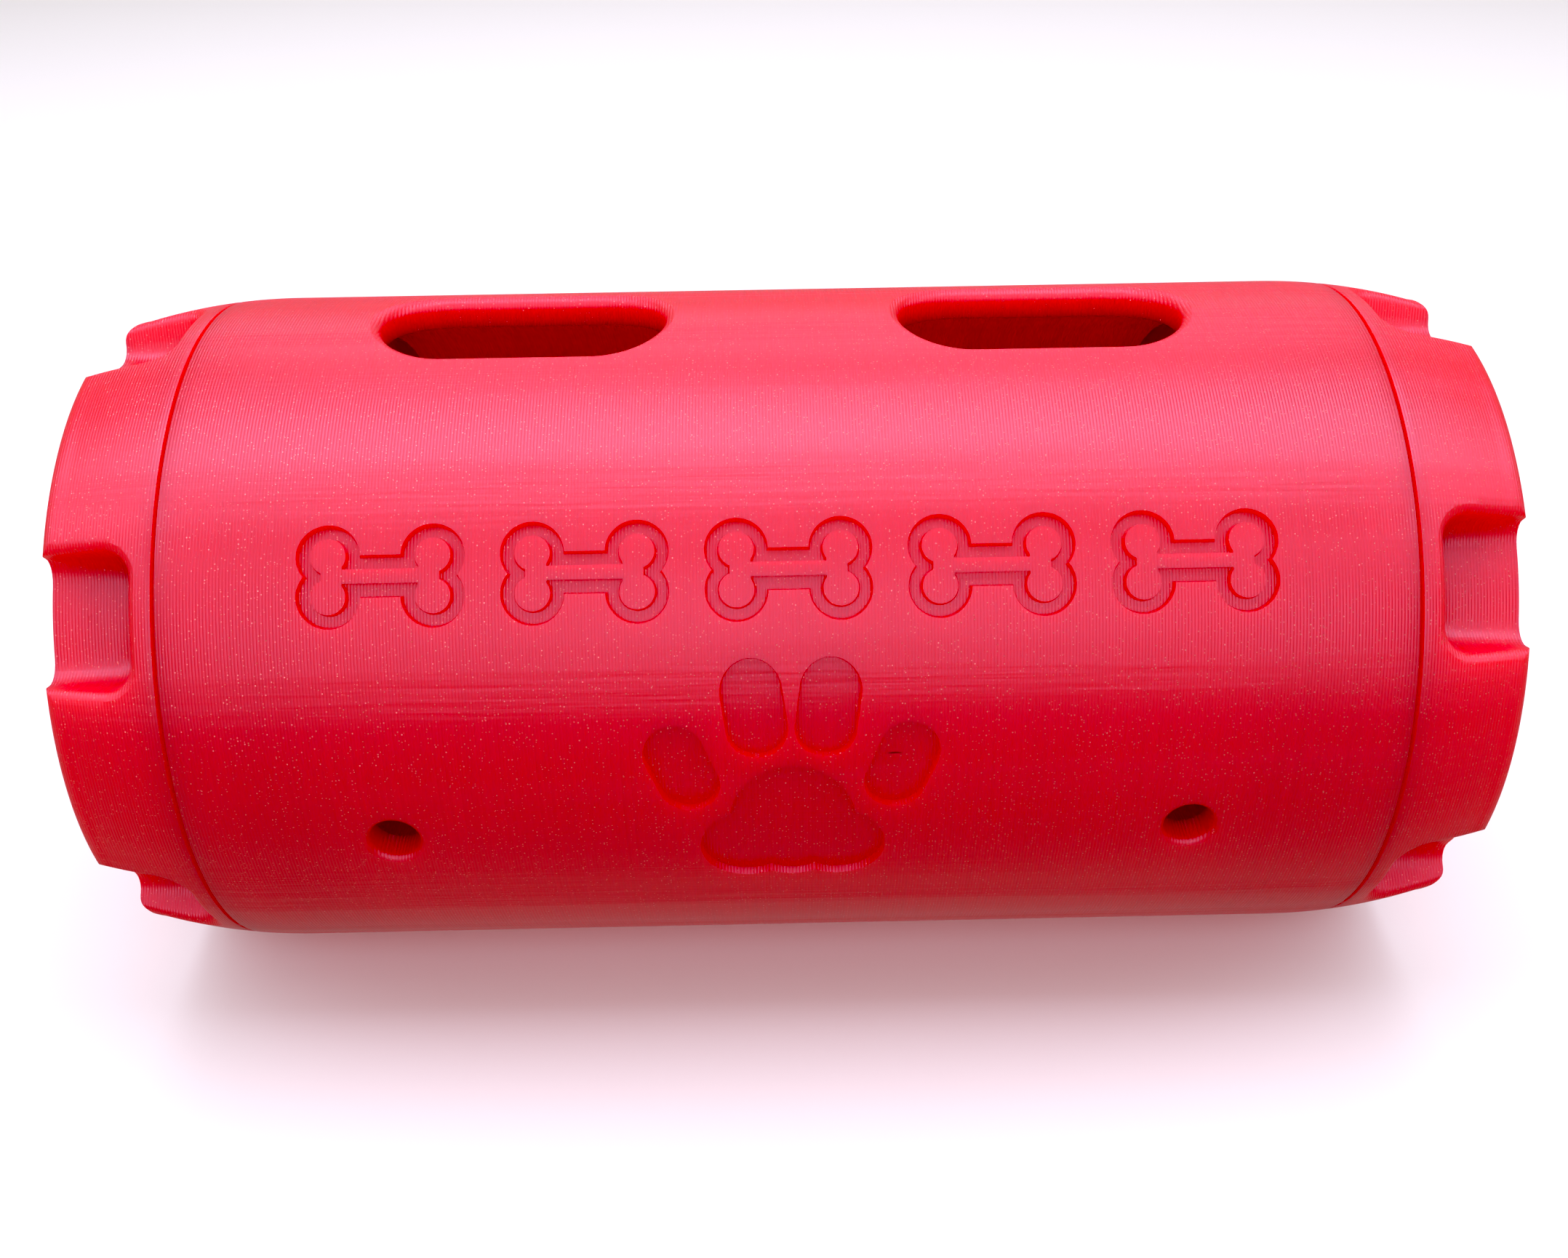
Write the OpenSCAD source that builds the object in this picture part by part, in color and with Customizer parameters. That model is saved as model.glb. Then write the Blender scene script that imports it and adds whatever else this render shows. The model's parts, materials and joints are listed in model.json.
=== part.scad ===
// Treat tumbler: a printed round barrel with two treat slots and two small
// holes, closed at each end by a screw cap with finger notches round its rim.
// It lies on its side. X runs along the barrel, +Z is up and the slots are on top.
// The front, with the engraving, faces -Y. The origin is the middle of the axis.

/* [Barrel] */
// Outer diameter of the barrel
barrel_d = 70; // [68:1:90]
// Length of the barrel between the two seams
barrel_len = 115.5; // [112:0.5:140]
// Thickness of the barrel's wall
wall = 3; // [2.6:0.1:3.4]
// Distance from the seam to where the barrel starts to curve in
crown_start = 6; // [2:0.5:10]
// Radius of the long curve over the barrel's ends and the caps
crown_r = 57; // [50:1:90]
// Gap that shows at the seam
seam_gap = 0.4; // [0.2:0.1:0.6]

/* [Slots and holes] */
// Width of a treat slot
slot_w = 14; // [10:0.5:18]
// Length of a treat slot, end to end
slot_len = 28.4; // [20:0.2:30]
// Distance from the middle of the barrel to the middle of a slot
slot_x = 26; // [24:0.5:26]
// Diameter of a small hole
hole_d = 4.8; // [4:0.1:6]
// Distance from the middle of the barrel to a small hole
hole_x = 38; // [30:0.5:38]
// Angle of the small holes below the level of the axis
hole_drop = 6; // [0:1:20]

/* [Caps] */
// Length that a cap adds to each end of the barrel
cap_len = 11.5; // [10:0.5:14]
// Radius of the rounding at a cap's outer edge
edge_round = 2; // [1:0.1:2.6]
// Thickness of a cap's end wall
end_wall = 3; // [2:0.1:4]
// Number of finger notches round each cap
notch_count = 6; // [4:1:6]
// Width of a finger notch, in degrees round the cap
notch_angle = 24.6; // [20:0.2:30]
// Distance from the axis to the floor of a notch
notch_floor_r = 28.9; // [28.6:0.1:29.4]
// Width of the whole rim left between a notch and the seam
notch_rim = 2.2; // [1.6:0.1:3]
// Radius of a notch's corners, seen from outside
notch_corner = 2.8; // [2:0.1:3.4]
// Radius where a notch's floor meets its sides
notch_fillet = 2.6; // [1.5:0.1:3]
// Angle above level at which the left cap's front notch stops
left_stop = 32; // [0:1:59]
// Angle above level at which the right cap's front notch stops
right_stop = 34; // [0:1:59]

/* [Thread] */
// Length of the neck that goes into the barrel
neck_len = 16; // [14:0.5:17]
// Thickness of the neck's wall, without the thread
neck_wall = 3.6; // [3:0.1:4]
// Gap between the neck and the barrel's bore
neck_gap = 1.4; // [1.2:0.1:1.6]
// Height of the thread's ridges
thread_h = 1.1; // [0.6:0.1:1.1]
// Distance from one ridge to the next
thread_pitch = 4; // [3.6:0.1:4.4]
// Number of ridges on each neck
thread_ridges = 3; // [2:1:3]

/* [Engraving] */
// Depth of the engraved bones and paw print
engrave_depth = 0.7; // [0.3:0.1:1]
// Width of the engraved lines
line_w = 1.3; // [0.8:0.1:1.6]
// Number of bones in the row
bone_count = 5; // [3:1:5]
// Length of one bone
bone_len = 14; // [10:0.5:15]
// Distance from one bone's middle to the next
bone_step = 18.5; // [17:0.5:19]
// Angle of the row of bones above level
bone_rise = 38; // [34:1:42]
// Angle of the paw print above level
paw_rise = -2; // [-4:1:2]
// Width of the paw print's pad
pad_w = 18; // [10:0.5:18]

/* [Hidden] */

print_red = [0.84, 0.03, 0.12];
cap_red = [0.92, 0.10, 0.22];
round_fn = 128;
curve_steps = 6;
past = 1;

barrel_r = barrel_d / 2;
bore_r = barrel_r - wall;
half_len = barrel_len / 2;
crown_x = half_len - crown_start;
barrel_face = half_len - seam_gap / 2;
cap_face = half_len + seam_gap / 2;
end_x = half_len + cap_len;
edge_x = end_x - edge_round;

neck_r = bore_r - neck_gap;
neck_bore_r = neck_r - neck_wall;
neck_end = half_len - neck_len;
ridge_r = neck_r + thread_h;
ridge_w = thread_pitch / 2;
first_ridge = neck_end + 2;

notch_x = half_len + notch_rim;
notch_reach = barrel_r + past;
fillet_r = notch_floor_r + notch_fillet;
// angle between a notch's side and the middle of its rounded corner
fillet_turn = asin(notch_fillet / fillet_r);
notch_turn = notch_angle / 2 - fillet_turn;
notch_half_w = (barrel_r - 1) * sin(notch_angle / 2);

lobe_r = bone_len / 6.2;
shaft_w = lobe_r * 1.15;
lobe_x = bone_len / 2 - lobe_r;
lobe_y = lobe_r * 0.82;
web_x = bone_len / 2 - lobe_r * 1.15;
web_len = lobe_r * 0.84;
web_w = lobe_r * 1.24;
toe_r = pad_w * 0.16;

// Radius of the outside where the long curve runs over the ends
function crown(x) =
    let (run = max(0, x - crown_x))
    barrel_r - crown_r + sqrt(crown_r * crown_r - run * run);

// Points on the long curve from one place along the axis to another
function crown_points(from, to) = [
    for (i = [0 : curve_steps])
        let (x = from + (to - from) * i / curve_steps)
        [crown(x), x]
];

// Points round the quarter circle at a cap's outer edge
function edge_points() = [
    for (i = [1 : curve_steps])
        let (a = 90 * i / curve_steps)
        [crown(edge_x) - edge_round * (1 - cos(a)), edge_x + edge_round * sin(a)]
];

module along_x() {
    rotate([0, 90, 0]) children();
}

module turned_up(angle) {
    rotate([-angle, 0, 0]) children();
}

// An outline drawn with X along the barrel, pushed out through the front
module through_front(from = 0) {
    rotate([90, 0, 0])
        translate([0, 0, from]) linear_extrude(height = barrel_r + past - from) children();
}

module obround(length, width) {
    square([length - width, width], center = true);
    for (side = [-1, 1])
        translate([side * (length - width) / 2, 0]) circle(d = width, $fn = round_fn);
}

module rounded_oblong(length, width, corner) {
    square([length - 2 * corner, width], center = true);
    square([length, width - 2 * corner], center = true);
    for (sx = [-1, 1], sy = [-1, 1])
        translate([sx * (length / 2 - corner), sy * (width / 2 - corner)])
            circle(r = corner, $fn = round_fn);
}

// ---- Barrel ----

module barrel_shell() {
    front = crown_points(crown_x, barrel_face);
    back = [for (point = front) [point[0], -point[1]]];
    bore = [[bore_r, -barrel_face], [bore_r, barrel_face]];
    front_in = [for (i = [curve_steps : -1 : 0]) front[i]];
    along_x() rotate_extrude($fn = round_fn) polygon(concat(bore, front_in, back));
}

module slots() {
    for (side = [-1, 1])
        translate([side * slot_x, 0, 0])
            linear_extrude(height = barrel_r + past) obround(slot_len, slot_w);
}

module holes() {
    for (side = [-1, 1])
        turned_up(-hole_drop)
            translate([side * hole_x, 0, 0]) rotate([90, 0, 0])
                cylinder(d = hole_d, h = barrel_r + past, $fn = round_fn);
}

module bone(grow) {
    square([2 * lobe_x, shaft_w + 2 * grow], center = true);
    for (sx = [-1, 1], sy = [-1, 1])
        translate([sx * lobe_x, sy * lobe_y]) circle(r = lobe_r + grow, $fn = round_fn);
}

// A bone's outline; the webs keep the plain middle in one piece between its knobs
module bone_line() {
    difference() {
        bone(line_w / 2);
        bone(-line_w / 2);
        for (side = [-1, 1])
            translate([side * web_x, 0]) square([web_len, web_w], center = true);
    }
}

module bone_row() {
    for (i = [0 : bone_count - 1])
        translate([(i - (bone_count - 1) / 2) * bone_step, 0]) bone_line();
}

module toe(x, y, lean) {
    translate([x, y]) rotate(lean) obround(toe_r * 3.2, toe_r * 2);
}

module paw() {
    translate([0, -pad_w * 0.02]) circle(d = pad_w * 0.66, $fn = round_fn);
    for (side = [-1, 1]) {
        translate([side * pad_w * 0.24, -pad_w * 0.22]) circle(d = pad_w * 0.5, $fn = round_fn);
        toe(side * pad_w * 0.19, pad_w * 0.62, 90 - side * 8);
        toe(side * pad_w * 0.57, pad_w * 0.30, 90 - side * 22);
    }
    translate([0, -pad_w * 0.25]) circle(d = pad_w * 0.44, $fn = round_fn);
}

module engraving() {
    difference() {
        union() {
            turned_up(bone_rise) through_front(bore_r) bone_row();
            turned_up(paw_rise) through_front(bore_r) paw();
        }
        along_x() cylinder(r = barrel_r - engrave_depth, h = barrel_len, center = true, $fn = round_fn);
    }
}

module barrel() {
    color(print_red) difference() {
        barrel_shell();
        slots();
        holes();
        engraving();
    }
}

// ---- Caps, modelled at the right-hand end ----

module cap_shell() {
    along_x() rotate_extrude($fn = round_fn) polygon(concat(
        [[0, end_x - end_wall], [neck_bore_r, end_x - end_wall], [neck_bore_r, neck_end],
         [neck_r, neck_end], [neck_r, cap_face]],
        crown_points(cap_face, edge_x), edge_points(), [[0, end_x]]));
}

// One ridge, with its root a little inside the neck's wall
module ridge(x) {
    root_r = neck_r - 0.2;
    along_x() rotate_extrude($fn = round_fn) polygon([
        [root_r, x], [ridge_r, x + ridge_w * 0.35], [ridge_r, x + ridge_w * 0.65], [root_r, x + ridge_w]]);
}

// A notch's outline seen along the axis, its middle facing -Y
module notch_section() {
    difference() {
        union() {
            polygon([[0, 0], [-notch_reach * tan(notch_turn), -notch_reach],
                     [notch_reach * tan(notch_turn), -notch_reach]]);
            difference() {
                polygon([[0, 0], [-notch_reach * tan(notch_angle / 2), -notch_reach],
                         [notch_reach * tan(notch_angle / 2), -notch_reach]]);
                circle(r = fillet_r, $fn = round_fn);
            }
        }
        circle(r = notch_floor_r, $fn = round_fn);
    }
    for (side = [-1, 1])
        rotate(side * notch_turn) translate([0, -fillet_r]) circle(r = notch_fillet, $fn = round_fn);
}

module notch() {
    length = end_x - notch_x;
    intersection() {
        translate([notch_x, 0, 0]) along_x() linear_extrude(height = length + past) notch_section();
        translate([notch_x + length / 2 + notch_corner, 0, 0]) through_front()
            rounded_oblong(length + 2 * notch_corner, 2 * notch_half_w, notch_corner);
    }
}

module cap(stop) {
    color(cap_red) difference() {
        union() {
            cap_shell();
            for (i = [0 : thread_ridges - 1]) ridge(first_ridge + i * thread_pitch);
        }
        for (i = [0 : notch_count - 1]) turned_up(stop + i * 360 / notch_count) notch();
    }
}

module right_cap() {
    cap(right_stop);
}

module left_cap() {
    mirror([1, 0, 0]) cap(left_stop);
}

barrel();
left_cap();
right_cap();
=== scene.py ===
"""Treat tumbler: a printed barrel with two slots and an engraving, and a screw cap at each end."""

import json
import math

import bmesh
import bpy
from bpy.props import FloatProperty, FloatVectorProperty, IntProperty, PointerProperty
from mathutils import Matrix, Vector


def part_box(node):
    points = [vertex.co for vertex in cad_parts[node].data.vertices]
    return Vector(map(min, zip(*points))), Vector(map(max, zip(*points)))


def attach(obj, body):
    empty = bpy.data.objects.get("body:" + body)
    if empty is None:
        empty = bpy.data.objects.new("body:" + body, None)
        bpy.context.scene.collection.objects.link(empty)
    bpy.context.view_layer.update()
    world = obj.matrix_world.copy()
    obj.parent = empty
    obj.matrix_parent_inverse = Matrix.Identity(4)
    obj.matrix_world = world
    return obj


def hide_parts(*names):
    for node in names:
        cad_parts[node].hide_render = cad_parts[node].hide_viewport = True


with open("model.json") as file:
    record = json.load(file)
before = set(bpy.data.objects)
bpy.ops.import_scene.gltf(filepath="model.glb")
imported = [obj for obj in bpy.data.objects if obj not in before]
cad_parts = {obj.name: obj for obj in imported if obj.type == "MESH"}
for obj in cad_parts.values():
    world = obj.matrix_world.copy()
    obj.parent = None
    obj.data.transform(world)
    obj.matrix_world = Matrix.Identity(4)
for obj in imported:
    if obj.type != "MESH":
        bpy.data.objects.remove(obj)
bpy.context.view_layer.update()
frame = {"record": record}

bl_info = {
    "name": "Treat Tumbler",
    "version": (1, 0, 0),
    "blender": (4, 5, 0),
    "location": "View3D > Sidebar > Tumbler",
    "description": "Models a printed treat tumbler: barrel, two screw caps and a studio",
    "category": "Add Mesh",
}

MM = 0.001
BARREL_LOW, BARREL_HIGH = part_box("barrel")
CAP_LOW, CAP_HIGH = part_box("right_cap")
HOLE_MOUNT = next(m for m in frame["record"]["mounts"] if m["name"] == "right_hole")

SIDES = {"left": -1, "right": 1}

# how finely shapes are divided
ROUND_STEPS = 256
RING_POINTS = 96
PEG_POINTS = 64
BARREL_STEPS = 96
BORE_STEPS = 32
CAP_BORE_STEPS = 12
NECK_STEPS = 10
RIM_STEPS = 14
EDGE_STEPS = 8
FILLET_STEPS = 6
LIP_STEPS = 6
LIP_TURN = math.radians(12)
SIDE_STEP = 1 * MM

# points closer together than this are one point
TOUCHING = 1e-6
# edges sharper than this stay crisp
CREASE = math.radians(32)
# how far one solid reaches into another that it joins or cuts
OVERLAP = 0.3 * MM
# how far the barrel reaches into the seam's gap, past its box in the frame
SEAM_TAKEN = 0.1 * MM
# how much an eased edge loses at its corner, as a share of its radius
EDGE_CUT = 0.3
# how far a cutting tool's lip goes on above the surface, as a share of its radius
LIP_ABOVE = 0.15

# where the thread starts, from the neck's end and round the axis, and its width as a share of its pitch
THREAD_START = 2 * MM
THREAD_TURN = math.pi / 3
THREAD_WIDTH = 0.55

# the tool for a notch: its depth, its reach past the cap's end and above its surface, the depth at which
# its width is measured, and the rings by which its floor closes in, as shares of its size
NOTCH_DEPTH = 5 * MM
NOTCH_PAST_END = 4 * MM
NOTCH_ABOVE = 3 * MM
NOTCH_WIDTH_AT = 1 * MM
NOTCH_FLOOR_RINGS = (0.7, 0.6, 0.5)

# a bone's length in knob radii, and its other sizes as shares of a knob's radius
BONE_RADII = 6.2
KNOB_OUT = 0.82
SHAFT_HALF = 0.575
WEB_IN = 1.15
WEB_HALF_LENGTH = 0.42
WEB_HALF_WIDTH = 0.62

# the engraving is bent in narrow strips; their edges miss the corners of its outlines
STRIP = 1 * MM
STRIPS_EACH_WAY = 20
STRIP_SHIFT = 0.37

# the discs that make up the paw print's pad: each one's place and radius, as shares of the pad's width
PAD_DISCS = ((0, -0.02, 0.33), (-0.24, -0.22, 0.25), (0.24, -0.22, 0.25), (0, -0.25, 0.22))
# each toe's place on one side, as shares of the pad's width, and its lean in degrees
TOES = ((0.19, 0.62, 8), (0.57, 0.30, 22))
# a toe's radius as a share of the pad's width, and its reach as a share of its radius
TOE_RADIUS = 0.16
TOE_REACH = 0.6

# the printed surface: how deep its relief is, how wide its streaks are and their width as a share of their
# length, how large the patches are that they gather in, and how large its faint clouds of colour are
RELIEF = 0.028 * MM
STREAK_WIDTH = 2 / 3 * MM
STREAK_SHARE = 0.035
PATCH_SIZE = 6.25 * MM
CLOUD_SIZE = 50 / 3 * MM

# each lamp's place and size in metres, and the setting that holds its power
LAMPS = {
    "overhead": ((0.0, 0.0, 0.5), (0.42, 0.38), "power"),
    "front": ((0.0, -0.5, 0.29), (0.9, 0.45), "front_power"),
    "back": ((0.0, 0.5, 0.42), (0.9, 0.36), "back_power"),
    "left_side": ((-0.48, -0.03, 0.42), (0.4, 0.6), "side_power"),
    "right_side": ((0.48, -0.03, 0.42), (0.4, 0.6), "side_power"),
}
FLOOR_WIDTH = 6
SENSOR_WIDTH = 36
NEAREST_SEEN = 0.01


def linear_colour(code):
    """Turns an sRGB hex colour into the linear values that Blender works in."""
    shares = [int(code[i : i + 2], 16) / 255 for i in (0, 2, 4)]
    return [c / 12.92 if c <= 0.04045 else ((c + 0.055) / 1.055) ** 2.4 for c in shares]


def length(label, words, default):
    """A length that a user may change, in metres."""
    return FloatProperty(name=label, description=words, default=default, unit="LENGTH", precision=5)


def angle(label, words, degrees):
    """An angle that a user may change."""
    return FloatProperty(name=label, description=words, default=math.radians(degrees), unit="ROTATION")


def watts(label, words, default):
    """A lamp's power that a user may change, in watts."""
    return FloatProperty(name=label, description=words, default=default, min=0, unit="POWER")


def colour(label, words, code):
    """A colour that a user may change."""
    return FloatVectorProperty(name=label, description=words, default=linear_colour(code),
                               subtype="COLOR", size=3, min=0, max=1)


class BarrelSettings(bpy.types.PropertyGroup):
    """Sizes of the barrel."""

    radius: length("Radius", "Outside radius of the barrel", BARREL_HIGH.z)
    face: length("Half length", "Distance from the middle to the barrel's end",
                 BARREL_HIGH.x + SEAM_TAKEN)
    wall: length("Wall", "Thickness of the wall", 3 * MM)
    crown_start: length("Crown start", "Where the long curve over the ends starts", 51.75 * MM)
    crown_radius: length("Crown radius", "Radius of the long curve over the ends", 57 * MM)
    edge: length("Edge", "Rounding of the edge at the seam", 0.3 * MM)
    slot_x: length("Slot place", "Distance from the middle to a slot's middle", 26 * MM)
    slot_length: length("Slot length", "Length of a slot, end to end", 28.4 * MM)
    slot_width: length("Slot width", "Width of a slot", 14 * MM)
    slot_lip: length("Slot lip", "Rounding of a slot's lip", 1.3 * MM)
    hole_lip: length("Hole lip", "Rounding of a small hole's lip", 0.7 * MM)
    groove: length("Groove", "Depth of the thread's groove in the bore", 0.7 * MM)


class EngravingSettings(bpy.types.PropertyGroup):
    """Sizes of the engraved bones and paw print."""

    depth: length("Depth", "Depth of the engraving", 0.7 * MM)
    line: length("Line", "Width of an engraved line", 1.3 * MM)
    draft: length("Draft", "How far an engraved side leans out above its middle", 0.15 * MM)
    bones: IntProperty(name="Bones", description="Number of bones in the row", default=5, min=1, max=5)
    bone_length: length("Bone length", "Length of one bone", 14 * MM)
    bone_step: length("Bone step", "Distance from one bone to the next", 18.5 * MM)
    bone_rise: angle("Bone rise", "Angle of the bones above level", 38)
    pad_width: length("Pad width", "Width of the paw print's pad", 18 * MM)
    paw_rise: angle("Paw rise", "Angle of the paw print above level", -2)


class CapSettings(bpy.types.PropertyGroup):
    """Sizes of the two screw caps."""

    face: length("Face", "Distance from the middle to a cap's inner face", 57.85 * MM)
    neck_end: length("Neck end", "Distance from the middle to the neck's end", CAP_LOW.x)
    end: length("End", "Distance from the middle to a cap's outer face", CAP_HIGH.x)
    edge_round: length("Edge", "Rounding of the outer edge", 2 * MM)
    end_wall: length("End wall", "Thickness of the end wall", 3 * MM)
    neck_radius: length("Neck radius", "Outside radius of the neck", 30.6 * MM)
    neck_wall: length("Neck wall", "Thickness of the neck's wall", 3.6 * MM)
    ridge: length("Ridge", "Height of the thread", 1.1 * MM)
    pitch: length("Pitch", "Rise of the thread in one turn", 4 * MM)
    turns: FloatProperty(name="Turns", description="Turns of thread on a neck", default=2.5, min=1, max=3)
    notches: IntProperty(name="Notches", description="Finger notches round a cap", default=6, min=4, max=6)
    notch_angle: angle("Notch angle", "Width of a notch between its straight sides", 22.4)
    notch_floor: length("Notch floor", "Distance from the axis to a notch's floor", 28.9 * MM)
    notch_rim: length("Notch rim", "Width of the whole rim beside the seam", 2.4 * MM)
    notch_corner: length("Notch corner", "Radius of a notch's corners", 2.8 * MM)
    notch_fillet: length("Notch fillet", "Rounding where floor and sides meet", 2.6 * MM)
    notch_lip: length("Notch lip", "Rounding of a notch's lip", 1.0 * MM)
    left_stop: angle("Left stop", "Angle of the left cap's front notch", 32)
    right_stop: angle("Right stop", "Angle of the right cap's front notch", 34)


class PlasticSettings(bpy.types.PropertyGroup):
    """Colours and pattern sizes of the printed plastic."""

    body: colour("Body", "Colour of the plastic", "EE051E")
    deep: colour("Deep", "Colour of the darker layers", "DE0418")
    flake: colour("Flake", "Colour of the glitter", "FF9A8C")
    layer: length("Layer", "Height of one printed layer", 0.3 * MM)
    flake_step: length("Flake step", "Distance from one flake of glitter to the next", 0.3 * MM)
    raster: length("Raster", "Width of one line on the flat ends", 0.45 * MM)


class StudioSettings(bpy.types.PropertyGroup):
    """Camera, floor and light."""

    distance: length("Distance", "Camera to the middle of the barrel", 179.65 * MM)
    rise: angle("Camera rise", "Camera's angle above level", 33)
    roll: angle("Camera roll", "Camera's lean", 1.11)
    yaw: angle("Camera yaw", "Camera's turn to one side", 0.454)
    aim_side: length("Aim, across", "Middle of the barrel to the right of the view's", 0.196 * MM)
    aim_up: length("Aim, up", "Middle of the barrel above the view's", 2.459 * MM)
    lens: FloatProperty(name="Lens", description="Focal length", default=36.65, unit="CAMERA")
    floor: colour("Floor", "Colour of the floor", "FDFAE9")
    sky: colour("Sky", "Colour of the soft light all round", "F8F4F0")
    cool: colour("Lamps", "Colour of the lamps", "DDDBFF")
    power: watts("Power", "Power of the lamp overhead", 2.1)
    front_power: watts("Front power", "Power of the lamp in front", 2.1)
    back_power: watts("Back power", "Power of the lamp behind", 1.5)
    side_power: watts("Side power", "Power of the lamp at each side", 1.7)
    sky_share: FloatProperty(name="Sky share", description="Strength of the soft light all round",
                             default=0.42, min=0)
    black: FloatProperty(name="Black", description="Haze taken off the darkest parts", default=0.036, min=0)


# ---- Working in edit mode ----

def deselect_all():
    """Leaves edit mode and selects nothing."""
    if bpy.context.object and bpy.context.object.mode != "OBJECT":
        bpy.ops.object.mode_set(mode="OBJECT")
    bpy.ops.object.select_all(action="DESELECT")


def start_editing(piece):
    """Makes a piece the only one selected, and edits it with all of it selected."""
    deselect_all()
    piece.select_set(True)
    bpy.context.view_layer.objects.active = piece
    bpy.ops.object.mode_set(mode="EDIT")
    bpy.ops.mesh.select_mode(type="VERT")
    bpy.ops.mesh.select_all(action="SELECT")


def stop_editing(piece):
    """Merges doubles, turns every face outwards and leaves edit mode."""
    bpy.ops.mesh.select_all(action="SELECT")
    bpy.ops.mesh.remove_doubles(threshold=TOUCHING)
    bpy.ops.mesh.normals_make_consistent(inside=False)
    bpy.ops.object.mode_set(mode="OBJECT")
    return piece


def apply_place(piece):
    """Moves a piece's place, turn and size into its mesh."""
    deselect_all()
    piece.select_set(True)
    bpy.context.view_layer.objects.active = piece
    bpy.ops.object.transform_apply(location=True, rotation=True, scale=True)
    return piece


def carve(piece, tool, operation="DIFFERENCE"):
    """Cuts a tool out of a piece, or joins it on, and throws the tool away."""
    deselect_all()
    piece.select_set(True)
    bpy.context.view_layer.objects.active = piece
    cut = piece.modifiers.new("cut", "BOOLEAN")
    cut.object = tool
    cut.operation = operation
    cut.solver = "EXACT"
    bpy.ops.object.modifier_apply(modifier=cut.name)
    bpy.data.objects.remove(tool)
    if not piece.data.polygons:
        raise RuntimeError(f"nothing is left of {piece.name}")
    return piece


def check_closed(piece):
    """Raises an error if a piece's surface has a gap in it."""
    mesh = bmesh.new()
    mesh.from_mesh(piece.data)
    gaps = sum(not edge.is_manifold for edge in mesh.edges)
    mesh.free()
    if gaps:
        raise RuntimeError(f"{piece.name} has {gaps} open edges")


def joined(pieces):
    """Joins pieces that don't touch into one."""
    deselect_all()
    for piece in pieces:
        piece.select_set(True)
    bpy.context.view_layer.objects.active = pieces[0]
    bpy.ops.object.join()
    return bpy.context.object


def copy_of(piece):
    """A copy with a mesh of its own."""
    twin = piece.copy()
    twin.data = piece.data.copy()
    bpy.context.scene.collection.objects.link(twin)
    return twin


def outline_ring(name, points):
    """A loop of edges through the given points."""
    deselect_all()
    bpy.ops.mesh.primitive_circle_add(vertices=len(points), fill_type="NOTHING")
    ring = bpy.context.object
    ring.name = name
    for vertex, place in zip(ring.data.vertices, points):
        vertex.co = place
    return ring


def lathe(name, outline, from_axis=False):
    """Spins an outline of (x, radius) points about the barrel's axis."""
    ring = outline_ring(name, [(x, 0, radius) for x, radius in outline])
    start_editing(ring)
    if from_axis:
        bpy.ops.mesh.select_all(action="DESELECT")
        mesh = bmesh.from_edit_mesh(ring.data)
        mesh.verts.ensure_lookup_table()
        axis_ends = {mesh.verts[0], mesh.verts[-1]}
        for edge in mesh.edges:
            edge.select_set(set(edge.verts) == axis_ends)
        bpy.ops.mesh.delete(type="EDGE")
        bpy.ops.mesh.select_all(action="SELECT")
    bpy.ops.mesh.spin(steps=ROUND_STEPS, angle=math.tau, center=(0, 0, 0), axis=(1, 0, 0))
    return stop_editing(ring)


def spread_out(ring, core_x, core_y, step):
    """Pulls a circle out into a rounded oblong round a core, and divides its long sides."""
    for vertex in ring.data.vertices:
        for axis, core in ((0, core_x), (1, core_y)):
            if abs(vertex.co[axis]) > TOUCHING:
                vertex.co[axis] += math.copysign(core, vertex.co[axis])
    start_editing(ring)
    mesh = bmesh.from_edit_mesh(ring.data)
    longest = max(edge.calc_length() for edge in mesh.edges)
    if longest > 2 * step:
        for edge in mesh.edges:
            edge.select_set(edge.calc_length() > 2 * step)
        bpy.ops.mesh.subdivide(number_cuts=math.ceil(longest / step) - 1)
    bpy.ops.object.mode_set(mode="OBJECT")


def set_level(mesh, core_x, core_y, corner, level):
    """Moves the selected ring to a level: its height, how far it stands out, and its share of full size."""
    height, out, share = level
    for vertex in (v for v in mesh.verts if v.select):
        flat = Vector((vertex.co.x, vertex.co.y, 0))
        core = Vector((max(-core_x, min(core_x, flat.x)), max(-core_y, min(core_y, flat.y)), 0))
        if share == 1:
            flat = core + (flat - core).normalized() * (corner + out)
        vertex.co = flat * share + Vector((0, 0, height))


def oblong_tool(name, core_x, core_y, corner, levels, place):
    """A cutting tool: a rounded oblong whose size changes from level to level, bent into place."""
    deselect_all()
    bpy.ops.mesh.primitive_circle_add(vertices=RING_POINTS, radius=corner, fill_type="NOTHING")
    tool = bpy.context.object
    tool.name = name
    spread_out(tool, core_x, core_y, SIDE_STEP)
    start_editing(tool)
    set_level(bmesh.from_edit_mesh(tool.data), core_x, core_y, corner, levels[0])
    for level in levels[1:]:
        bpy.ops.mesh.extrude_edges_move()
        set_level(bmesh.from_edit_mesh(tool.data), core_x, core_y, corner, level)
        bmesh.update_edit_mesh(tool.data)
    bpy.ops.mesh.select_all(action="SELECT")
    bpy.ops.mesh.fill_holes(sides=0)
    for vertex in bmesh.from_edit_mesh(tool.data).verts:
        vertex.co = place(*vertex.co)
    bpy.ops.mesh.quads_convert_to_tris()
    return stop_editing(tool)


def facing(rise, across, up, out):
    """The point that lies across, up and out from the axis on a face turned up by an angle."""
    sine, cosine = math.sin(rise), math.cos(rise)
    return Vector((across, up * sine - out * cosine, up * cosine + out * sine))


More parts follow.
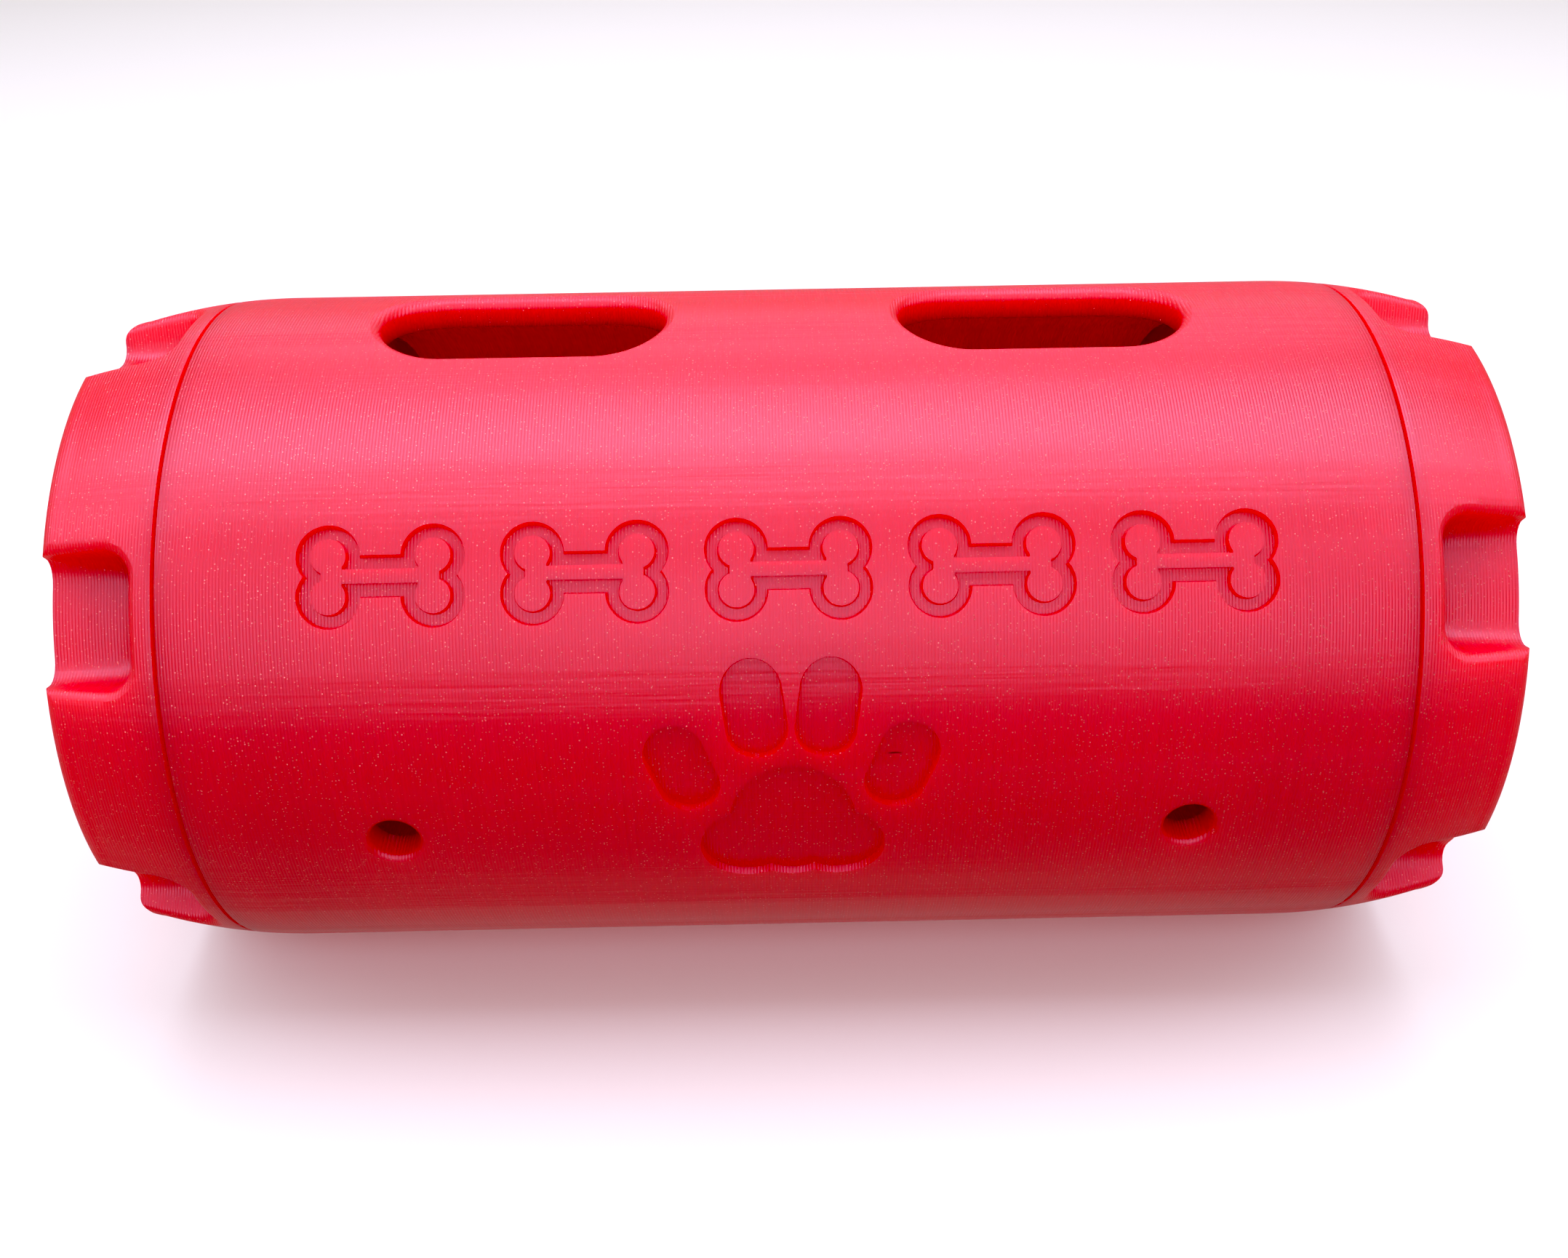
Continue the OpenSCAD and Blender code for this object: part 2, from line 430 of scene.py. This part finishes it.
def lip_levels(lip):
    """Heights and widths up a rounded lip, from its straight side to just above the surface."""
    turns = [LIP_TURN * i for i in range(LIP_STEPS + 1)]
    arc = [(lip * (math.sin(turn) - 1), lip * (1 - math.cos(turn)), 1) for turn in turns]
    return arc + [(LIP_ABOVE * lip, lip, 1)]


# ---- Barrel ----

def crown(barrel, x):
    """Outside radius at a place along the axis."""
    run = max(0, abs(x) - barrel.crown_start)
    return barrel.radius - barrel.crown_radius + math.sqrt(barrel.crown_radius ** 2 - run ** 2)


def evenly(start, end, count):
    """Numbers from start to end in equal steps."""
    return [start + (end - start) * i / count for i in range(count + 1)]


def barrel_tube(barrel):
    """The tube, crowned outside, with its edges eased at both seams."""
    bore = barrel.radius - barrel.wall
    shoulder = barrel.face - barrel.edge
    outside = [(x, crown(barrel, x)) for x in evenly(-shoulder, shoulder, BARREL_STEPS)]
    rim = crown(barrel, shoulder)
    ease = barrel.edge * (1 - math.sqrt(0.5))
    right_end = [(barrel.face - ease, rim - ease), (barrel.face, rim - barrel.edge),
                 (barrel.face, bore + barrel.edge), (barrel.face - barrel.edge, bore)]
    inside = [(x, bore) for x in evenly(shoulder, -shoulder, BORE_STEPS)][1:-1]
    left_end = [(-x, radius) for x, radius in reversed(right_end)]
    return lathe("barrel_print", outside + right_end + inside + left_end)


def slot_tool(barrel, side):
    """The tool that cuts a treat slot, with a rounded lip that follows the barrel."""
    corner = barrel.slot_width / 2
    lip = barrel.slot_lip
    levels = [(-3 * barrel.wall, 0, 1)] + lip_levels(lip) + [(barrel.wall, lip, 1)]

    def place(across, up, out):
        surface = math.sqrt(barrel.radius ** 2 - up ** 2)
        return facing(math.pi / 2, side * barrel.slot_x + across, up, surface + out)

    return oblong_tool("slot_tool", barrel.slot_length / 2 - corner, 0, corner, levels, place)


def hole_tool(barrel, side):
    """The tool that cuts a small round hole, where the frame has it."""
    radius = HOLE_MOUNT["dims"]["r_mm"] * MM
    x, y, z = HOLE_MOUNT["pos_m"]
    rise = math.atan2(z, -y)
    lip = barrel.hole_lip
    levels = [(-2 * barrel.wall, 0, 1)] + lip_levels(lip) + [(barrel.wall, lip, 1)]

    def place(across, up, out):
        surface = math.sqrt(barrel.radius ** 2 - up ** 2)
        return facing(rise, side * x + across, up, surface + out)

    return oblong_tool("hole_tool", 0, 0, radius, levels, place)


def thread_coil(name, section, turns, rise, start_turn):
    """A helical bar: a closed section of (x, radius) points, screwed about the axis."""
    coil = outline_ring(name, [(x, 0, radius) for x, radius in section])
    deselect_all()
    coil.select_set(True)
    bpy.context.view_layer.objects.active = coil
    screw = coil.modifiers.new("screw", "SCREW")
    screw.axis = "X"
    screw.angle = math.copysign(math.tau * turns, rise)
    screw.screw_offset = rise * turns
    screw.steps = int(ROUND_STEPS * turns / 2)
    screw.render_steps = screw.steps
    bpy.ops.object.modifier_apply(modifier=screw.name)
    start_editing(coil)
    bpy.ops.mesh.fill_holes(sides=0)
    stop_editing(coil)
    coil.rotation_euler = (start_turn, 0, 0)
    return apply_place(coil)


def thread_section(root, crest, width, x):
    """A trapezium, wide at the root and narrow at the crest."""
    return [(x - width / 2, root), (x - width / 5, crest), (x + width / 5, crest), (x + width / 2, root)]


def bore_groove(barrel, cap, side):
    """The tool that cuts the thread's groove into one end of the bore."""
    bore = barrel.radius - barrel.wall
    start = side * (cap.neck_end + THREAD_START)
    section = thread_section(bore - OVERLAP, bore + barrel.groove, THREAD_WIDTH * cap.pitch, start)
    return thread_coil("bore_groove", section, cap.turns, side * cap.pitch, side * THREAD_TURN)


# ---- Engraving ----

def peg(name, x, y, radius, lean, height):
    """A short peg on the flat, centred on the surface, that leans out towards its top."""
    deselect_all()
    bpy.ops.mesh.primitive_cone_add(vertices=PEG_POINTS, radius1=radius - lean, radius2=radius + lean,
                                    depth=height, location=(x, y, 0))
    bpy.context.object.name = name
    return apply_place(bpy.context.object)


def bar(name, half_x, half_y, lean, height, place=(0, 0), turn=0):
    """A bar on the flat, centred on the surface, whose long sides lean out towards its top."""
    deselect_all()
    bpy.ops.mesh.primitive_cube_add(size=1)
    block = bpy.context.object
    block.name = name
    for vertex in block.data.vertices:
        half = half_y + math.copysign(lean, vertex.co.z)
        vertex.co = (2 * half_x * vertex.co.x, 2 * half * vertex.co.y, height * vertex.co.z)
    block.rotation_euler = (0, 0, turn)
    block.location = (*place, 0)
    return apply_place(block)


def bone_block(engraving, grow, lean, height):
    """A solid bone: a shaft with two knobs at each end."""
    knob = engraving.bone_length / BONE_RADII
    knob_x = engraving.bone_length / 2 - knob
    knob_y = KNOB_OUT * knob
    bone = bar("bone", knob_x, SHAFT_HALF * knob + grow, lean, height)
    for sx in (-1, 1):
        for sy in (-1, 1):
            carve(bone, peg("knob", sx * knob_x, sy * knob_y, knob + grow, lean, height), "UNION")
    return bone


def bone_groove(engraving):
    """A bone's outline: a wide bone, with a narrow and taller one taken out of it."""
    height = 2 * engraving.depth
    half_line = engraving.line / 2
    groove = bone_block(engraving, half_line, engraving.draft, height)
    island_height = 1.5 * height
    island_lean = -1.5 * engraving.draft
    island = bone_block(engraving, -half_line, island_lean, island_height)
    knob = engraving.bone_length / BONE_RADII
    for side in (-1, 1):
        middle = side * (engraving.bone_length / 2 - WEB_IN * knob)
        web = bar("web", WEB_HALF_LENGTH * knob, WEB_HALF_WIDTH * knob, island_lean, island_height,
                  (middle, 0))
        carve(island, web, "UNION")
    return carve(groove, island)


def toe_block(engraving, x, y, turn, height):
    """A toe: a bar with round ends."""
    radius = TOE_RADIUS * engraving.pad_width
    reach = TOE_REACH * radius
    toe = bar("toe", reach, radius, engraving.draft, height, (x, y), turn)
    for end in (-1, 1):
        place = (x + end * reach * math.cos(turn), y + end * reach * math.sin(turn))
        carve(toe, peg("toe_end", *place, radius, engraving.draft, height), "UNION")
    return toe


def paw_blocks(engraving):
    """The paw print's pad and its four toes, which stand apart from each other."""
    width = engraving.pad_width
    height = 2 * engraving.depth
    pad, *discs = [peg("pad", x * width, y * width, radius * width, engraving.draft, height)
                   for x, y, radius in PAD_DISCS]
    for disc in discs:
        carve(pad, disc, "UNION")
    toes = []
    for side in (-1, 1):
        for x, y, tilt in TOES:
            turn = math.pi / 2 - side * math.radians(tilt)
            toes.append(toe_block(engraving, side * x * width, y * width, turn, height))
    return [pad] + toes


def press_on(barrel, block, rise, across=0):
    """Cuts a flat block into narrow strips and bends it round the barrel, turned up by an angle."""
    start_editing(block)
    for i in range(-STRIPS_EACH_WAY, STRIPS_EACH_WAY + 1):
        bpy.ops.mesh.select_all(action="SELECT")
        bpy.ops.mesh.bisect(plane_co=(0, (i + STRIP_SHIFT) * STRIP, 0), plane_no=(0, 1, 0))
    for vertex in bmesh.from_edit_mesh(block.data).verts:
        turn = math.asin(vertex.co.y / barrel.radius)
        vertex.co = facing(rise + turn, across + vertex.co.x, 0, barrel.radius + vertex.co.z)
    bpy.ops.mesh.quads_convert_to_tris()
    return stop_editing(block)


def engraving_tool(barrel, engraving):
    """The tool that cuts the row of bones and the paw print to an even depth."""
    groove = bone_groove(engraving)
    first = -(engraving.bones - 1) / 2
    blocks = []
    for i in range(engraving.bones):
        across = (first + i) * engraving.bone_step
        blocks.append(press_on(barrel, copy_of(groove), engraving.bone_rise, across))
    bpy.data.objects.remove(groove)
    blocks += [press_on(barrel, block, engraving.paw_rise) for block in paw_blocks(engraving)]
    return joined(blocks)


# ---- Caps ----

def cap_turning(barrel, cap, side):
    """The cap before its notches are cut: neck, rim and end wall."""
    ease = barrel.edge
    bore = cap.neck_radius - cap.neck_wall
    inside = cap.end - cap.end_wall
    shoulder = cap.end - cap.edge_round
    corner = crown(barrel, shoulder) - cap.edge_round
    rim_radius = crown(barrel, cap.face)
    neck = [(inside, 0), (inside, bore - ease), (inside - ease, bore)]
    neck += [(x, bore) for x in evenly(inside - SIDE_STEP, cap.neck_end + ease, CAP_BORE_STEPS)]
    neck += [(cap.neck_end, bore + ease), (cap.neck_end, cap.neck_radius - ease)]
    neck += [(x, cap.neck_radius) for x in evenly(cap.neck_end + ease, cap.face, NECK_STEPS)]
    rim = [(cap.face, rim_radius - ease), (cap.face + EDGE_CUT * ease, rim_radius - EDGE_CUT * ease)]
    rim += [(x, crown(barrel, x)) for x in evenly(cap.face + ease, shoulder, RIM_STEPS)]
    edge = [(shoulder + cap.edge_round * math.sin(turn), corner + cap.edge_round * math.cos(turn))
            for turn in evenly(0, math.pi / 2, EDGE_STEPS)[1:]]
    outline = neck + rim + edge + [(cap.end, 0)]
    return lathe("cap_print", [(side * x, radius) for x, radius in outline], from_axis=True)


def notch_levels(cap):
    """Levels down a notch: rounded lip, fillet, and a floor that closes in on its middle."""
    fillet = cap.notch_fillet
    lip = [(NOTCH_DEPTH + height, out, 1) for height, out, _ in lip_levels(cap.notch_lip)]
    side = [(fillet * (1 - math.cos(turn)), fillet * (math.sin(turn) - 1), 1)
            for turn in evenly(0, math.pi / 2, FILLET_STEPS)]
    upwards = side + lip + [(NOTCH_DEPTH + NOTCH_ABOVE, cap.notch_lip, 1)]
    return upwards[::-1] + [(0, 0, share) for share in NOTCH_FLOOR_RINGS]


def notch_tool(barrel, cap, side, rise):
    """The tool that cuts a finger notch, open at the cap's end, with a floor that follows the cap."""
    inner = cap.face + cap.notch_rim
    outer = cap.end + NOTCH_PAST_END
    middle = (inner + outer) / 2
    middle_radius = barrel.radius - NOTCH_WIDTH_AT
    half_width = middle_radius * cap.notch_angle / 2

    def place(across, up, out):
        along = middle + across
        surface = crown(barrel, min(along, cap.end))
        radius = cap.notch_floor + out * (surface - cap.notch_floor) / NOTCH_DEPTH
        return facing(rise + up / middle_radius, side * along, 0, radius)

    corner = cap.notch_corner
    return oblong_tool("notch_tool", (outer - inner) / 2 - corner, half_width - corner, corner,
                       notch_levels(cap), place)


def neck_ridge(cap, side):
    """The thread's ridge on the neck."""
    start = side * (cap.neck_end + THREAD_START)
    root = cap.neck_radius - OVERLAP
    section = thread_section(root, cap.neck_radius + cap.ridge, THREAD_WIDTH * cap.pitch, start)
    return thread_coil("neck_ridge", section, cap.turns, side * cap.pitch, side * THREAD_TURN)


# ---- Materials ----

def add_node(tree, kind, inputs=None, **settings):
    """Adds a node with its settings, and fills its inputs with values or with other nodes' outputs."""
    node = tree.nodes.new(kind)
    for name, value in settings.items():
        setattr(node, name, value)
    for name, value in (inputs or {}).items():
        if isinstance(value, bpy.types.NodeSocket):
            tree.links.new(value, node.inputs[name])
        else:
            node.inputs[name].default_value = value
    return node


def sine_rows(tree, position, spacing):
    """Rounded rows with sharp valleys between them, at a spacing."""
    turn = add_node(tree, "ShaderNodeMath", {0: position, 1: math.pi / spacing}, operation="MULTIPLY")
    wave = add_node(tree, "ShaderNodeMath", {0: turn.outputs[0]}, operation="SINE")
    return add_node(tree, "ShaderNodeMath", {0: wave.outputs[0]}, operation="ABSOLUTE").outputs[0]


def flat_ends(tree, place):
    """One on faces that look along the axis, and nought elsewhere."""
    face = add_node(tree, "ShaderNodeSeparateXYZ", {0: place.outputs["Normal"]})
    turned = add_node(tree, "ShaderNodeMath", {0: face.outputs[0]}, operation="ABSOLUTE")
    return add_node(tree, "ShaderNodeMath", {0: turned.outputs[0], 1: 0.93},
                    operation="GREATER_THAN").outputs[0]


def printed_lines(tree, plastic, axes, flat_end):
    """Height of the print's lines: fine rings, and straight lines at 45 degrees on the flat ends."""
    along, across, up = axes.outputs
    rings = sine_rows(tree, along, plastic.layer)
    slant = add_node(tree, "ShaderNodeMath", {0: across, 1: up}, operation="ADD")
    straight = sine_rows(tree, slant.outputs[0], plastic.raster * math.sqrt(2))
    return add_node(tree, "ShaderNodeMix", {0: flat_end, 2: rings, 3: straight}).outputs[0]


def nozzle_streaks(tree, axes, flat_end, radius):
    """Height of faint streaks along the barrel, where the nozzle stopped and started."""
    along, across, up = axes.outputs
    turn = add_node(tree, "ShaderNodeMath", {0: up, 1: across}, operation="ARCTAN2")
    arc = add_node(tree, "ShaderNodeMath", {0: turn.outputs[0], 1: radius}, operation="MULTIPLY")
    stretched = add_node(tree, "ShaderNodeMath", {0: along, 1: STREAK_SHARE}, operation="MULTIPLY")
    unrolled = add_node(tree, "ShaderNodeCombineXYZ", {0: stretched.outputs[0], 1: arc.outputs[0]})
    streak = add_node(tree, "ShaderNodeTexNoise", {
        "Vector": unrolled.outputs[0],
        "Scale": 1 / STREAK_WIDTH,
        "Detail": 2.0,
        "Roughness": 0.6,
    })
    # they gather in patches, and stop at the flat ends
    patch = add_node(tree, "ShaderNodeTexNoise", {
        "Vector": unrolled.outputs[0],
        "Scale": 1 / PATCH_SIZE,
        "Detail": 1.0,
    })
    patchy = add_node(tree, "ShaderNodeMapRange", {0: patch.outputs[0], 1: 0.46, 2: 0.6, 3: 0.25, 4: 2.6})
    on_side = add_node(tree, "ShaderNodeMath", {0: 1.0, 1: flat_end}, operation="SUBTRACT")
    strength = add_node(tree, "ShaderNodeMath", {0: patchy.outputs[0], 1: on_side.outputs[0]},
                        operation="MULTIPLY")
    return add_node(tree, "ShaderNodeMath", {0: streak.outputs[0], 1: strength.outputs[0]},
                    operation="MULTIPLY").outputs[0]


def uneven_tone(tree, plastic, place, along):
    """Share of the deeper colour: no two layers are laid down quite alike, and there are faint clouds."""
    number = add_node(tree, "ShaderNodeMath", {0: along, 1: 1 / plastic.layer}, operation="MULTIPLY")
    whole = add_node(tree, "ShaderNodeMath", {0: number.outputs[0]}, operation="FLOOR")
    layer = add_node(tree, "ShaderNodeTexWhiteNoise", {"W": whole.outputs[0]}, noise_dimensions="1D")
    cloud = add_node(tree, "ShaderNodeTexNoise", {
        "Vector": place.outputs["Object"],
        "Scale": 1 / CLOUD_SIZE,
        "Detail": 3.0,
    })
    faint = add_node(tree, "ShaderNodeMath", {0: layer.outputs[0], 1: 0.35, 2: 0.0},
                     operation="MULTIPLY_ADD")
    return add_node(tree, "ShaderNodeMath", {0: cloud.outputs[0], 1: 0.65, 2: faint.outputs[0]},
                    operation="MULTIPLY_ADD").outputs[0]


def glitter_flakes(tree, plastic, place):
    """Small flakes at chance places: a chance colour for each, and how brightly it shows."""
    flakes = add_node(tree, "ShaderNodeTexVoronoi", {
        "Vector": place.outputs["Object"],
        "Scale": 1 / plastic.flake_step,
    })
    chance = add_node(tree, "ShaderNodeSeparateColor", {0: flakes.outputs["Color"]})
    speck = add_node(tree, "ShaderNodeMapRange", {
        0: flakes.outputs["Distance"],
        1: 0.26,
        2: 0.14,
        3: 0.0,
        4: 1.0,
    })
    bright = add_node(tree, "ShaderNodeMapRange", {0: chance.outputs[0], 1: 0.4, 2: 1.0, 3: 0.0, 4: 1.0})
    glitter = add_node(tree, "ShaderNodeMath", {0: speck.outputs[0], 1: bright.outputs[0]},
                       operation="MULTIPLY")
    return flakes.outputs["Color"], glitter.outputs[0]


def tipped_normal(tree, height, chance, glitter):
    """The surface's direction, over the print's relief and with each flake tipped its own way."""
    relief = add_node(tree, "ShaderNodeBump", {"Strength": 1.0, "Distance": RELIEF, "Height": height})
    away = add_node(tree, "ShaderNodeVectorMath", {0: chance, 1: (0.5, 0.5, 0.5)}, operation="SUBTRACT")
    tip = add_node(tree, "ShaderNodeVectorMath", {0: away.outputs[0], "Scale": glitter}, operation="SCALE")
    tipped = add_node(tree, "ShaderNodeVectorMath", {0: relief.outputs[0], 1: tip.outputs[0]},
                      operation="ADD")
    return add_node(tree, "ShaderNodeVectorMath", {0: tipped.outputs[0]}, operation="NORMALIZE").outputs[0]


def printed_petg(name, plastic, radius):
    """Clear red PETG with glitter in it, printed in layers.

    Light goes some way into it, so it glows deep red in its hollows. Its gloss is soft, and is
    broken up by fine rings, faint streaks and tiny bright specks.
    """
    material = bpy.data.materials.new(name)
    material.use_nodes = True
    tree = material.node_tree
    tree.nodes.clear()
    place = add_node(tree, "ShaderNodeTexCoord")
    axes = add_node(tree, "ShaderNodeSeparateXYZ", {0: place.outputs["Object"]})
    flat_end = flat_ends(tree, place)
    lines = printed_lines(tree, plastic, axes, flat_end)
    streaks = nozzle_streaks(tree, axes, flat_end, radius)
    chance, glitter = glitter_flakes(tree, plastic, place)
    tone = uneven_tone(tree, plastic, place, axes.outputs[0])
    body = add_node(tree, "ShaderNodeMix", {0: tone, 6: (*plastic.body, 1), 7: (*plastic.deep, 1)},
                    data_type="RGBA")
    speckled = add_node(tree, "ShaderNodeMix", {0: glitter, 6: body.outputs[2], 7: (*plastic.flake, 1)},
                        data_type="RGBA")
    height = add_node(tree, "ShaderNodeMath", {0: streaks, 1: lines}, operation="ADD")
    rough = add_node(tree, "ShaderNodeMath", {0: streaks, 1: 0.08, 2: 0.34}, operation="MULTIPLY_ADD")
    metal = add_node(tree, "ShaderNodeMath", {0: glitter, 1: 0.9}, operation="MULTIPLY")
    shader = add_node(tree, "ShaderNodeBsdfPrincipled", {
        "Base Color": speckled.outputs[2],
        "Metallic": metal.outputs[0],
        "Roughness": rough.outputs[0],
        "IOR": 1.57,
        "Specular IOR Level": 0.9,
        "Specular Tint": (1.0, 0.78, 0.92, 1.0),
        "Subsurface Weight": 1.0,
        "Subsurface Radius": (1.0, 0.03, 0.02),
        "Subsurface Scale": 8.0 * MM,
        "Normal": tipped_normal(tree, height.outputs[0], chance, glitter),
    })
    add_node(tree, "ShaderNodeOutputMaterial", {0: shader.outputs[0]})
    return material


def pale_floor(studio):
    """Matt painted board, very faintly uneven."""
    material = bpy.data.materials.new("painted_board")
    material.use_nodes = True
    tree = material.node_tree
    tree.nodes.clear()
    place = add_node(tree, "ShaderNodeTexCoord")
    uneven = add_node(tree, "ShaderNodeTexNoise", {"Vector": place.outputs["Object"], "Scale": 8.0})
    paler = [0.99 * share for share in studio.floor]
    tone = add_node(tree, "ShaderNodeMix", {0: uneven.outputs[0], 6: (*studio.floor, 1), 7: (*paler, 1)},
                    data_type="RGBA")
    shader = add_node(tree, "ShaderNodeBsdfPrincipled", {"Base Color": tone.outputs[2], "Roughness": 0.8})
    add_node(tree, "ShaderNodeOutputMaterial", {0: shader.outputs[0]})
    return material


def finish_piece(piece, name, material, body):
    """Names, shades and places a finished piece."""
    piece.name = name
    piece.data.name = name
    piece.data.materials.clear()
    piece.data.materials.append(material)
    deselect_all()
    piece.select_set(True)
    bpy.context.view_layer.objects.active = piece
    bpy.ops.object.shade_smooth_by_angle(angle=CREASE)
    check_closed(piece)
    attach(piece, body)
    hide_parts(body)


# ---- Operators ----

class TUMBLER_OT_barrel(bpy.types.Operator):
    """Models the barrel with its slots, holes, threads and engraving"""

    bl_idname = "tumbler.barrel"
    bl_label = "Barrel"

    def execute(self, context):
        barrel = context.scene.tumbler_barrel
        cap = context.scene.tumbler_cap
        piece = barrel_tube(barrel)
        for side in SIDES.values():
            carve(piece, slot_tool(barrel, side))
            carve(piece, hole_tool(barrel, side))
            carve(piece, bore_groove(barrel, cap, side))
        carve(piece, engraving_tool(barrel, context.scene.tumbler_engraving))
        material = printed_petg("glitter_petg_barrel", context.scene.tumbler_plastic, barrel.radius)
        finish_piece(piece, "barrel_print", material, "barrel")
        return {"FINISHED"}


class TUMBLER_OT_caps(bpy.types.Operator):
    """Models the two screw caps with their necks, threads and finger notches"""

    bl_idname = "tumbler.caps"
    bl_label = "Caps"

    def execute(self, context):
        barrel = context.scene.tumbler_barrel
        cap = context.scene.tumbler_cap
        material = printed_petg("glitter_petg_caps", context.scene.tumbler_plastic, barrel.radius)
        for name, side in SIDES.items():
            piece = cap_turning(barrel, cap, side)
            carve(piece, neck_ridge(cap, side), "UNION")
            stop = getattr(cap, f"{name}_stop")
            for i in range(cap.notches):
                carve(piece, notch_tool(barrel, cap, side, stop + math.tau * i / cap.notches))
            finish_piece(piece, f"{name}_cap_print", material, f"{name}_cap")
        return {"FINISHED"}


class TUMBLER_OT_studio(bpy.types.Operator):
    """Sets out the floor, the soft lights and the camera"""

    bl_idname = "tumbler.studio"
    bl_label = "Studio"

    def execute(self, context):
        studio = context.scene.tumbler_studio
        deselect_all()
        bpy.ops.mesh.primitive_plane_add(size=FLOOR_WIDTH, location=(0, 0, BARREL_LOW.z))
        floor = bpy.context.object
        floor.name = "floor"
        apply_place(floor)
        floor.data.materials.append(pale_floor(studio))
        # the floor doesn't light or show in the plastic, whose underside stays deep red
        floor.visible_glossy = False
        floor.visible_diffuse = False
        for name, (place, size, setting) in LAMPS.items():
            lamp(name, place, size, getattr(studio, setting), studio.cool)
        context.scene.world = soft_room(studio)
        set_contrast(context.scene.view_settings, studio.black)
        camera_on_tripod(context.scene, studio)
        return {"FINISHED"}


def soft_room(studio):
    """A world that gives a little even light from all round."""
    world = bpy.data.worlds.new("soft_room")
    world.use_nodes = True
    background = world.node_tree.nodes["Background"]
    background.inputs["Color"].default_value = (*studio.sky, 1)
    background.inputs["Strength"].default_value = studio.sky_share
    return world


def set_contrast(view, black):
    """Shows colours as they are, except that the faint haze in the darkest parts is taken off."""
    view.view_transform = "Standard"
    view.use_curve_mapping = True
    view.curve_mapping.black_level = (black, black, black)
    view.curve_mapping.update()


def lamp(name, place, size, power, tint):
    """A soft oblong light that faces the barrel."""
    deselect_all()
    bpy.ops.object.light_add(type="AREA", location=place)
    light = bpy.context.object
    light.name = name
    light.data.shape = "RECTANGLE"
    light.data.size, light.data.size_y = size
    light.data.energy = power
    light.data.color = tint
    light.rotation_euler = (-Vector(place)).to_track_quat("-Z", "Y").to_euler()


def camera_on_tripod(scene, studio):
    """The camera, close to the barrel and above it."""
    deselect_all()
    bpy.ops.object.camera_add()
    camera = bpy.context.object
    camera.name = "camera"
    camera.data.lens = studio.lens
    camera.data.sensor_width = SENSOR_WIDTH
    camera.data.clip_start = NEAREST_SEEN
    lean = Matrix.Rotation(math.pi / 2 - studio.rise, 4, "X")
    tilt = Matrix.Rotation(-studio.roll, 4, "Z") @ Matrix.Rotation(-studio.yaw, 4, "Y")
    back = Matrix.Translation((-studio.aim_side, -studio.aim_up, studio.distance))
    camera.matrix_world = lean @ tilt @ back
    scene.camera = camera


class TUMBLER_PT_panel(bpy.types.Panel):
    """Lists the operators in the sidebar"""

    bl_idname = "TUMBLER_PT_panel"
    bl_label = "Treat Tumbler"
    bl_space_type = "VIEW_3D"
    bl_region_type = "UI"
    bl_category = "Tumbler"

    def draw(self, context):
        for operator in OPERATORS:
            self.layout.operator(operator.bl_idname)
        for name in SETTINGS:
            group = getattr(context.scene, name)
            for key in group.__annotations__:
                self.layout.prop(group, key)


OPERATORS = (TUMBLER_OT_studio, TUMBLER_OT_barrel, TUMBLER_OT_caps)
SETTINGS = {
    "tumbler_barrel": BarrelSettings,
    "tumbler_engraving": EngravingSettings,
    "tumbler_cap": CapSettings,
    "tumbler_plastic": PlasticSettings,
    "tumbler_studio": StudioSettings,
}


def register():
    for group in (*SETTINGS.values(), *OPERATORS, TUMBLER_PT_panel):
        bpy.utils.register_class(group)
    for name, group in SETTINGS.items():
        setattr(bpy.types.Scene, name, PointerProperty(type=group))


def unregister():
    for name in SETTINGS:
        delattr(bpy.types.Scene, name)
    for group in reversed((*SETTINGS.values(), *OPERATORS, TUMBLER_PT_panel)):
        bpy.utils.unregister_class(group)


def main():
    """Builds everything in order."""
    register()
    bpy.ops.tumbler.studio()
    bpy.ops.tumbler.barrel()
    bpy.ops.tumbler.caps()


if __name__ == "__main__":
    main()
